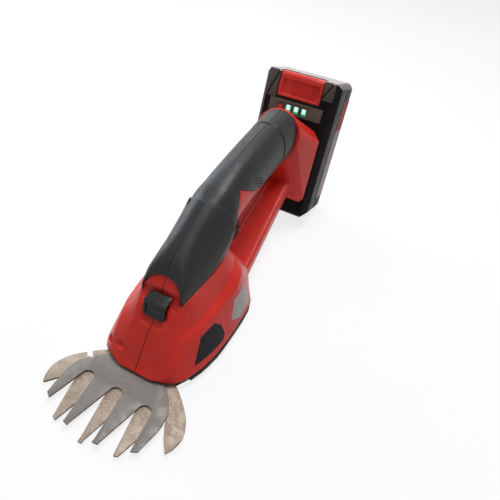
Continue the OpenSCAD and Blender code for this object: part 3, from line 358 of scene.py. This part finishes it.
def plated(name, colour, dull, rough, ring=0.25):
    """Bare or plated metal with tool marks that many millimetres apart, dulled in patches."""
    material, shader, place = finish(name, 1)
    turned = streaks(place, ring, 6, (0, 0, 0))
    tarnish = mottle(place, 4, 4).between(0.4, 0.7)
    tarnish.mix(colour, dull).into(shader.inputs["Base Color"])
    (rough + 0.15 * tarnish + 0.08 * turned).into(shader.inputs["Roughness"])
    relief(shader, turned, 0.01)
    return material


def keep_solid(material, *nodes):
    """The solid's own shape is right, and only its finish changes."""
    for node in nodes:
        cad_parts[node].data.materials.clear()
        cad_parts[node].data.materials.append(material)


def wound(node):
    """A copy of a spring's coil in zinc plate, left in place of the node and attached to no body.
    """
    coil = cast_of(node, node + "_coil")
    coil.data.materials.append(zinc)
    shade(60)
    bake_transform(coil)
    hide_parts(node)


zinc = plated("zinc_plate", tint(196, 197, 200), tint(150, 150, 152), rough=0.26)
keep_solid(zinc, "pivot_bolt", "blade_washer", "base_screws", "cover_screws", "gear_axle",
    "motor_shaft", "trigger_pin", "pack_screws")
wound("lock_off_spring")
wound("trigger_spring")
wound("latch_spring")

# Gear case and cover: two mouldings in grey filled nylon that hold the axle and carry the motor.
# The drive gear is moulded in pale acetal, with its crank pin, and the pinion is hobbed brass.
case_grey = moulded("case_grey", tint(86, 87, 90), tint(150, 150, 148),
    rough=0.5, texture=0.03, scuffs=0.15)
keep_solid(case_grey, "gear_case", "gear_cover")
acetal = moulded("gear_acetal", tint(226, 222, 208), tint(245, 244, 240),
    rough=0.38, texture=0.01, scuffs=0.1)
keep_solid(acetal, "drive_gear")
hobbed = plated("hobbed_brass", tint(202, 164, 92), tint(166, 128, 70), rough=0.3, ring=0.12)
keep_solid(hobbed, "pinion")

# Motor: a drawn and plated steel can with a black end cap, and inside it a stack of punched sheets
# wound with copper on the shaft.
drawn = plated("drawn_can", tint(172, 172, 174), tint(128, 127, 126), rough=0.32, ring=0.4)
keep_solid(drawn, "motor_can")
cap_black = moulded("cap_black", tint(34, 34, 36), tint(110, 110, 110),
    rough=0.5, texture=0.03, scuffs=0.2)
keep_solid(cap_black, "motor_end_cap")
punched = plated("punched_sheets", tint(96, 92, 88), tint(70, 62, 58), rough=0.5, ring=0.3)
keep_solid(punched, "armature")

# Switch and wiring: a black switch with a pale acetal plunger, a black block with copper blades for
# the pack's contacts, and leads in red sleeves from the blades to the switch and on to the motor.
keep_solid(cap_black, "switch_body", "terminal_block")
keep_solid(acetal, "switch_plunger")
copper = plated("copper_strip", tint(198, 134, 94), tint(150, 96, 64), rough=0.3, ring=0.2)
keep_solid(copper, "terminal_blades", "pack_contacts")
sleeve = moulded("lead_sleeve", tint(150, 32, 28), tint(200, 120, 110),
    rough=0.42, texture=0.01, scuffs=0.1)
keep_solid(sleeve, "motor_leads", "battery_leads")

# Housing: two red shells in impact-proof plastic, moulded with nose, handle core, guard bar and
# rear block in one, closed along the middle and held by six blackened screws from the right.


def soften(piece, voxel, crease, rounds, keep):
    """Turns a copied skin into an even, closed mesh, built in cubes of voxel millimetres. Creases,
    of more degrees than that, keep the small radius that a mould leaves. The broad faces between
    them are smoothed for that many rounds, and that share of the faces is kept."""
    skin = piece.modifiers.new("skin", "REMESH")
    skin.mode = "VOXEL"
    skin.voxel_size = 1 * voxel * mm
    ease = piece.modifiers.new("ease", "SMOOTH")
    ease.factor = 0.5
    ease.iterations = 3
    apply_all(piece)
    count = len(piece.data.vertices)
    normals = np.empty(3 * count)
    piece.data.vertices.foreach_get("normal", normals)
    normals = normals.reshape(-1, 3)
    ends = np.empty(2 * len(piece.data.edges), int)
    piece.data.edges.foreach_get("vertices", ends)
    first, second = ends.reshape(-1, 2).T
    bent = (normals[first] * normals[second]).sum(1) < math.cos(math.radians(crease))
    sharp = np.zeros(count, bool)
    sharp[first[bent]] = sharp[second[bent]] = True
    for ring in range(2):
        near = sharp[first] | sharp[second]
        sharp[first[near]] = sharp[second[near]] = True
    broad = piece.vertex_groups.new(name="broad")
    broad.add(np.flatnonzero(~sharp).tolist(), 1, "REPLACE")
    calm = piece.modifiers.new("calm", "SMOOTH")
    calm.vertex_group = "broad"
    calm.factor = 0.5
    calm.iterations = rounds
    thin = piece.modifiers.new("thin", "DECIMATE")
    thin.ratio = keep
    apply_all(piece)
    piece.vertex_groups.clear()
    bpy.ops.object.shade_smooth()


shell_red = moulded("shell_red", tint(202, 44, 34), tint(236, 150, 135),
    rough=0.34, texture=0.02, scuffs=0.3, specular=0.25, seam=0.4)
shells = {}
for side in ("left", "right"):
    shell = shells[side] = cast_of("housing_" + side, "red_shell_" + side)
    soften(shell, voxel=0.6, crease=5, rounds=24, keep=0.28)
    dress(shell, shell_red, "red_shell", "tool", "housing_" + side)
black_oxide = plated("black_oxide", tint(58, 56, 56), tint(40, 38, 38), rough=0.4)
keep_solid(black_oxide, "housing_screws")

# Collar lip: the raised edge of the red shells round the rear end of the handle, against which the
# soft grip ends. It is an oval tube with rounded rims, tilted with the handle.
let_go()
bpy.ops.mesh.primitive_cylinder_add(vertices=96, radius=1, depth=3.4 * mm,
    end_fill_type="NOTHING")
lip = bpy.context.object
lip.name = "collar_lip"
lip_oval = Matrix.Diagonal((22.3 * mm, 22.9 * mm, 1, 1))
lip_tilt = Matrix.Rotation(math.radians(80), 4, "X")
lip.data.transform(Matrix.Translation((0, 196.6 * mm, 102.6 * mm)) @ lip_tilt @ lip_oval)
wall = lip.modifiers.new("wall", "SOLIDIFY")
wall.thickness = 2.6 * mm
wall.offset = -1
apply_all(lip)
round_edges(lip, 0.9, 3, 40)
dress(lip, shell_red, "red_shell", "tool")

# Side labels: two blank vinyl stickers on each flank of the nose, a black one before a silver one,
# cut to shape and laid on the finished shells.


def trimmed(piece, cuts, closed):
    """Cuts a piece off along planes, each through a point and with its normal to the waste."""
    take(piece)
    bpy.ops.object.mode_set(mode="EDIT")
    for point, out in cuts:
        bpy.ops.mesh.select_all(action="SELECT")
        bpy.ops.mesh.bisect(plane_co=[mm * c for c in point], plane_no=Vector(out).normalized(),
            use_fill=closed, clear_outer=True)
    bpy.ops.object.mode_set(mode="OBJECT")


def outline_cuts(corners):
    """The cuts for an outline in the side view, its corners given as places along Y and Z."""
    cuts = []
    for (y_a, z_a), (y_b, z_b) in zip(corners, corners[1:] + corners[:1]):
        cuts.append(((0, y_a, z_a), (0, z_b - z_a, y_a - y_b)))
    return cuts


def nose_sticker(name, side, turn, corners, material, slot):
    """Cuts a sticker from an upright sheet beside the nose and presses it sideways on the shell."""
    let_go()
    bpy.ops.mesh.primitive_grid_add(x_subdivisions=60, y_subdivisions=90, size=1)
    sticker = bpy.context.object
    sticker.name = name
    sheet = Matrix.Diagonal((60 * mm, 100 * mm, 1, 1))
    upright = Matrix.Rotation(math.radians(90 * turn), 4, "Y")
    beside = Matrix.Translation((turn * 70 * mm, 38 * mm, 25 * mm))
    sticker.data.transform(beside @ upright @ sheet)
    trimmed(sticker, outline_cuts(corners), closed=False)
    lay = sticker.modifiers.new("lay", "SHRINKWRAP")
    lay.target = shells[side]
    lay.wrap_method = "PROJECT"
    lay.use_project_x = True
    lay.use_project_y = lay.use_project_z = False
    lay.use_negative_direction = turn > 0
    lay.use_positive_direction = turn < 0
    lay.offset = 0.12 * mm
    body = sticker.modifiers.new("body", "SOLIDIFY")
    body.thickness = 0.3 * mm
    body.offset = -1
    apply_all(sticker)
    shade()
    dress(sticker, material, slot, "tool")


sticker_black = moulded("sticker_black", tint(38, 37, 40), tint(110, 106, 104),
    rough=0.34, texture=0.006, scuffs=0.35)
sticker_silver = moulded("sticker_silver", tint(168, 162, 158), tint(215, 212, 208),
    rough=0.3, texture=0.006, scuffs=0.3)
front_outline = [(-1, 14.6), (31, 13.6), (34.5, 17), (33.5, 26.5), (28, 32), (12.5, 31)]
rear_outline = [(46, 19.5), (57, 13.8), (77, 13.8), (79, 18), (73, 35.6), (54, 33.4)]
for side, turn in (("left", 1), ("right", -1)):
    nose_sticker("front_label_" + side, side, turn, front_outline, sticker_black, "black_plastic")
    nose_sticker("rear_label_" + side, side, turn, rear_outline, sticker_silver, "blade_steel")

# Soft grip: a rubbery black skin moulded over each shell, 2.2 mm thick, with a raised front for the
# thumb, a groove before the collar and four short grooves in each side for a firmer hold.
grip_rubber = moulded("grip_rubber", tint(29, 29, 32), tint(128, 122, 112),
    rough=0.38, texture=0.05, scuffs=0.35, specular=0.27, seam=0.45)
groove_count = 4
groove_width, groove_length, cutter_height = 1.05, 22, 4
cutter_size = Matrix.Diagonal((cutter_height * mm, groove_width * mm, groove_length * mm, 1))
for side, turn in (("left", 1), ("right", -1)):
    grip = cast_of("grip_" + side, "soft_grip_" + side)
    soften(grip, voxel=0.6, crease=10, rounds=30, keep=0.4)
    for step in range(groove_count):
        along = Vector((turn * (3.3 - 0.9 * step), 18.5, -10.2)).normalized()
        across = along.cross(Vector((turn, -0.05, 0.35 - 0.08 * step))).normalized()
        out = across.cross(along)
        skin = Vector((turn * (16.3 + 0.33 * step), 121.7 + 0.15 * step, 101.4 - 2.3 * step))
        middle = skin + (cutter_height / 2 - 0.4) * out
        let_go()
        bpy.ops.mesh.primitive_cube_add(size=1)
        groove = bpy.context.object
        lying = Matrix((out, across, along)).transposed().to_4x4()
        groove.data.transform(Matrix.Translation(middle * mm) @ lying @ cutter_size)
        round_edges(groove, 0.25, 2)
        cut = grip.modifiers.new("cut", "BOOLEAN")
        cut.object = groove
        apply_all(grip)
        take(groove)
        bpy.ops.object.delete()
    dress(grip, grip_rubber, "soft_grip", "tool", "grip_" + side)

# Lock-off slider: a stepped black button in the sloped face of the nose. The thumb pushes its
# hollowed front towards the blades against a spring before the trigger can be pulled.


def pick_faces(piece, test):
    """Enters edit mode with only the faces selected that pass a test of their middle and normal."""
    take(piece)
    bpy.ops.object.mode_set(mode="EDIT")
    bpy.ops.mesh.select_mode(type="FACE")
    bpy.ops.mesh.select_all(action="DESELECT")
    bpy.ops.object.mode_set(mode="OBJECT")
    for face in piece.data.polygons:
        face.select = test(face.center, face.normal)
    bpy.ops.object.mode_set(mode="EDIT")


slope = Matrix.Translation((0, -24 * mm, 8.5 * mm)) @ Matrix.Rotation(math.radians(53), 4, "X")
on_slope = slope.inverted()
outwards = slope.to_3x3() @ Vector((0, 0, 1))
uphill = slope.to_3x3() @ Vector((0, 1, 0))
thumb_side = (slope.to_3x3() @ Vector((0, -0.38, 0.92))).normalized()
skirt_lift = 0.35 * mm
stem_ease = 0.45 * mm
half_width, front_corner, corner_radius = 8.9 * mm, 43.6 * mm, 1.8 * mm
hollow_rim, hollow_flank, hollow_depth = 1.6 * mm, 0.6 * mm, 1.3 * mm
button_black = moulded("button_black", tint(22, 21, 22), tint(120, 118, 115),
    rough=0.26, texture=0.015, scuffs=0.25, specular=0.3)
slider = cast_of("lock_off_slider", "thumb_slider")
pick_faces(slider, lambda middle, normal: normal.dot(outwards) < -0.9
    and -1.3 * mm < (on_slope @ middle).z < -0.5 * mm)
bpy.ops.transform.translate(value=skirt_lift * outwards)
pick_faces(slider, lambda middle, normal: normal.dot(uphill) < -0.9
    and (on_slope @ middle).z < -1 * mm)
bpy.ops.transform.translate(value=stem_ease * uphill)
bpy.ops.mesh.select_mode(type="EDGE")
bpy.ops.mesh.select_all(action="DESELECT")
bpy.ops.object.mode_set(mode="OBJECT")
for edge in slider.data.edges:
    a, b = (on_slope @ slider.data.vertices[v].co for v in edge.vertices)
    at_corner = all(abs(c.x) > half_width and c.y < front_corner for c in (a, b))
    edge.select = at_corner and a.x * b.x > 0
bpy.ops.object.mode_set(mode="EDIT")
bpy.ops.mesh.bevel(offset=corner_radius, segments=5)
bpy.ops.object.mode_set(mode="OBJECT")
pick_faces(slider, lambda middle, normal: normal.dot(thumb_side) > 0.97)
bpy.ops.mesh.inset(thickness=hollow_rim, depth=0)
bpy.ops.mesh.inset(thickness=hollow_flank, depth=-hollow_depth)
bpy.ops.object.mode_set(mode="OBJECT")
round_edges(slider, 0.45, 3)
dress(slider, button_black, "black_plastic", "lock_off", "lock_off_slider")

# Trigger: a black lever moulded hollow, hung on a pin in the handle and pressed down by a spring.
# The first finger squeezes its rounded lower end up into the handle.
trigger_black = moulded("trigger_black", tint(27, 27, 29), tint(110, 108, 106),
    rough=0.38, texture=0.02, scuffs=0.25)
lever = cast_of("trigger", "finger_lever")
round_edges(lever, 1.0, 3)
dress(lever, trigger_black, "black_plastic", "trigger", "trigger")

# Battery pack: two black shells screwed together round ten cells in two holders, with a board and
# its contacts. The front shell carries the rail that slides into the rear of the tool.
# The pack's faces that look up carry a painted highlight in pale grey.
pack_black = moulded("pack_black", tint(24, 21, 26), tint(112, 106, 104),
    rough=0.4, texture=0.025, scuffs=0.3, specular=0.05, top_highlight=0.7)
for half in ("front", "rear"):
    shell = cast_of(f"pack_{half}_shell", f"pack_{half}")
    round_edges(shell, 1.2, 4)
    dress(shell, pack_black, "black_plastic", "pack", f"pack_{half}_shell")
holder_grey = moulded("holder_grey", tint(70, 71, 74), tint(130, 130, 130),
    rough=0.5, texture=0.03, scuffs=0.1)
keep_solid(holder_grey, "cell_holders")
sleeve_blue = moulded("cell_sleeve", tint(88, 138, 178), tint(150, 190, 215),
    rough=0.3, texture=0.005, scuffs=0.1)
keep_solid(sleeve_blue, "cells")
board_green = moulded("board_green", tint(32, 92, 58), tint(120, 160, 130),
    rough=0.34, texture=0.01, scuffs=0.2)
keep_solid(board_green, "pack_board")

# Charge indicator: a dark grey plate clipped into the pack's front, with three lit windows and a
# small red button that switches them on. Each window is brightest in its middle.
plate_grey = moulded("plate_grey", tint(92, 85, 78), tint(150, 144, 136),
    rough=0.42, texture=0.03, scuffs=0.2)
panel = cast_of("indicator_panel", "charge_plate")
round_edges(panel, 0.35, 2)
dress(panel, plate_grey, "grey_plastic", "pack", "indicator_panel")
window_pitch = 8 * mm
window_height = 113.1 * mm
window_green, shader, place = finish("window_green")
along_row = place.part("X") + 10.9 * mm
span = along_row.node("Math", {"operation": "WRAP"}, {0: along_row, 1: window_pitch, 2: 0})
to_sides = abs(span - window_pitch / 2).between(0.8 * mm, 2.6 * mm)
to_ends = abs(place.part("Z") - window_height).between(1.6 * mm, 3.2 * mm)
cloud = mottle(place, 2.5, 2)
dimming = to_sides.greater(to_ends) + 0.3 * cloud - 0.15
dimming.mix(tint(170, 250, 220), tint(30, 150, 96)).into(shader.inputs["Base Color"])
dimming.mix(tint(190, 255, 232), tint(20, 130, 84)).into(shader.inputs["Emission Color"])
shader.inputs["Emission Strength"].default_value = 0.95
(0.2 + 0.1 * cloud).into(shader.inputs["Roughness"])
windows = cast_of("indicator_lights", "charge_windows")
round_edges(windows, 0.25, 2)
dress(windows, window_green, "light_window", "pack", "indicator_lights")
button_red = moulded("button_red", tint(212, 54, 44), tint(240, 170, 155),
    rough=0.34, texture=0.01, scuffs=0.2, specular=0.25)
knob = cast_of("charge_button", "charge_knob")
round_edges(knob, 0.3, 2)
dress(knob, button_red, "red_button", "charge", "charge_button")

# Latch button: a red cap at the top of the pack with a ribbed hollow for the thumb, and ribs over
# its upper edge. Pressing it in against its spring frees the pack from the rail.
pack_top = Matrix.Translation((0, 242.9 * mm, 142.777 * mm))
pack_place = pack_top @ Matrix.Rotation(math.radians(-16.8), 4, "X")


def rib_row(name, width, length, pitch, count, first, place):
    """A row of half-sunk round ribs, the first at that place across the pack."""
    let_go()
    bpy.ops.mesh.primitive_cylinder_add(vertices=12, radius=width / 2 * mm, depth=length * mm)
    rib = bpy.context.object
    rib.name = name
    round_edges(rib, 0.4 * width, 2)
    rib.data.transform(pack_place @ Matrix.Translation((first * mm, 0, 0)) @ place)
    row = rib.modifiers.new("row", "ARRAY")
    row.use_relative_offset = False
    row.use_constant_offset = True
    row.constant_offset_displace = (pitch * mm, 0, 0)
    row.count = count
    apply_all(rib)
    shade()
    return rib


latch = cast_of("latch_button", "latch_cap")
inwards = (pack_place.to_3x3() @ Vector((0, 1, 0))).normalized()
hollow_floor = pack_place @ Vector((0, 1 * mm, -14 * mm))
hollow_sink = 0.6 * mm
pick_faces(latch, lambda middle, normal: normal.dot(inwards) < -0.99
    and abs((middle - hollow_floor).dot(inwards)) < 0.1 * mm)
bpy.ops.transform.translate(value=hollow_sink * inwards)
bpy.ops.object.mode_set(mode="OBJECT")
round_edges(latch, 0.8, 4)
in_hollow = Matrix.Translation((0, 1.5 * mm, -14 * mm))
hollow_ribs = rib_row("hollow_ribs", width=0.95, length=11.6, pitch=1.7, count=15, first=-8.4,
    place=in_hollow)
on_edge = Matrix.Translation((0, 0.45 * mm, -1.75 * mm))
edge_ribs = rib_row("edge_ribs", width=0.9, length=3.2, pitch=1.7, count=18, first=-14.4,
    place=on_edge @ Matrix.Rotation(math.radians(-37.6), 4, "X"))
take(latch)
hollow_ribs.select_set(True)
edge_ribs.select_set(True)
bpy.ops.object.join()
dress(latch, button_red, "red_button", "latch", "latch_button")

# Latch surround: dark grey plates clipped to the pack beside the latch, each parted by a slanting
# seam where the two mouldings snap together.


def surround_plate(name, low, high, point, out):
    """A plate between two corners in the pack's own frame, cut off at a slanting plane."""
    let_go()
    bpy.ops.mesh.primitive_cube_add(size=1)
    plate = bpy.context.object
    plate.name = name
    middle = Matrix.Translation([mm * (a + b) / 2 for a, b in zip(low, high)])
    size = Matrix.Diagonal([mm * (b - a) for a, b in zip(low, high)] + [1])
    plate.data.transform(middle @ size)
    trimmed(plate, [(point, out)], closed=True)
    plate.data.transform(pack_place)
    round_edges(plate, 0.25, 2)
    dress(plate, plate_grey, "grey_plastic", "pack")


seam_half = 0.65
for name, inner, outer, foot, seam, slant in (
        ("left", 22.4, 33, -17.2, (27.5, 0, -7), (14, 0, -8.2)),
        ("right", -22.4, -33, -25.3, (-27.5, 0, -13), (-24, 0, 8.4))):
    low = (min(inner, outer), -0.75, foot)
    high = (max(inner, outer), 0.6, -0.6)
    slant = Vector(slant)
    aside = seam_half * slant.normalized()
    surround_plate("surround_a_" + name, low, high, Vector(seam) - aside, slant)
    surround_plate("surround_b_" + name, low, high, Vector(seam) + aside, -slant)

# Pack labels: two blank paper stickers on each side of the pack, a red one over a pale one, with
# round corners and glued flat on the shells.
paper_red = moulded("paper_red", tint(140, 40, 46), tint(205, 140, 140),
    rough=0.5, texture=0.006, scuffs=0.5)
paper_pale = moulded("paper_pale", tint(160, 142, 144), tint(222, 214, 212),
    rough=0.5, texture=0.006, scuffs=0.5)
label_width = 19 * mm
label_thickness = 0.3 * mm
label_corner = 1.6 * mm
for name, turn in (("left", 1), ("right", -1)):
    upright = Matrix.Rotation(math.radians(90 * turn), 4, "Y")
    for part, top, foot, paper in (
            ("upper", -15, -45, paper_red), ("lower", -45.4, -117, paper_pale)):
        let_go()
        bpy.ops.mesh.primitive_plane_add(size=1)
        sticker = bpy.context.object
        sticker.name = f"pack_label_{part}_{name}"
        sticker.data.transform(Matrix.Diagonal(((top - foot) * mm, label_width, 1, 1)))
        take(sticker)
        bpy.ops.object.mode_set(mode="EDIT")
        bpy.ops.mesh.select_all(action="SELECT")
        bpy.ops.mesh.bevel(offset=label_corner, segments=5, affect="VERTICES")
        bpy.ops.mesh.extrude_region_move(TRANSFORM_OT_translate={"value": (0, 0, label_thickness)})
        bpy.ops.mesh.select_all(action="SELECT")
        bpy.ops.mesh.normals_make_consistent(inside=False)
        bpy.ops.object.mode_set(mode="OBJECT")
        on_flank = Matrix.Translation((turn * 37.85 * mm, 37 * mm, (top + foot) / 2 * mm))
        sticker.data.transform(pack_place @ on_flank @ upright)
        shade()
        dress(sticker, paper, "grey_plastic", "pack")
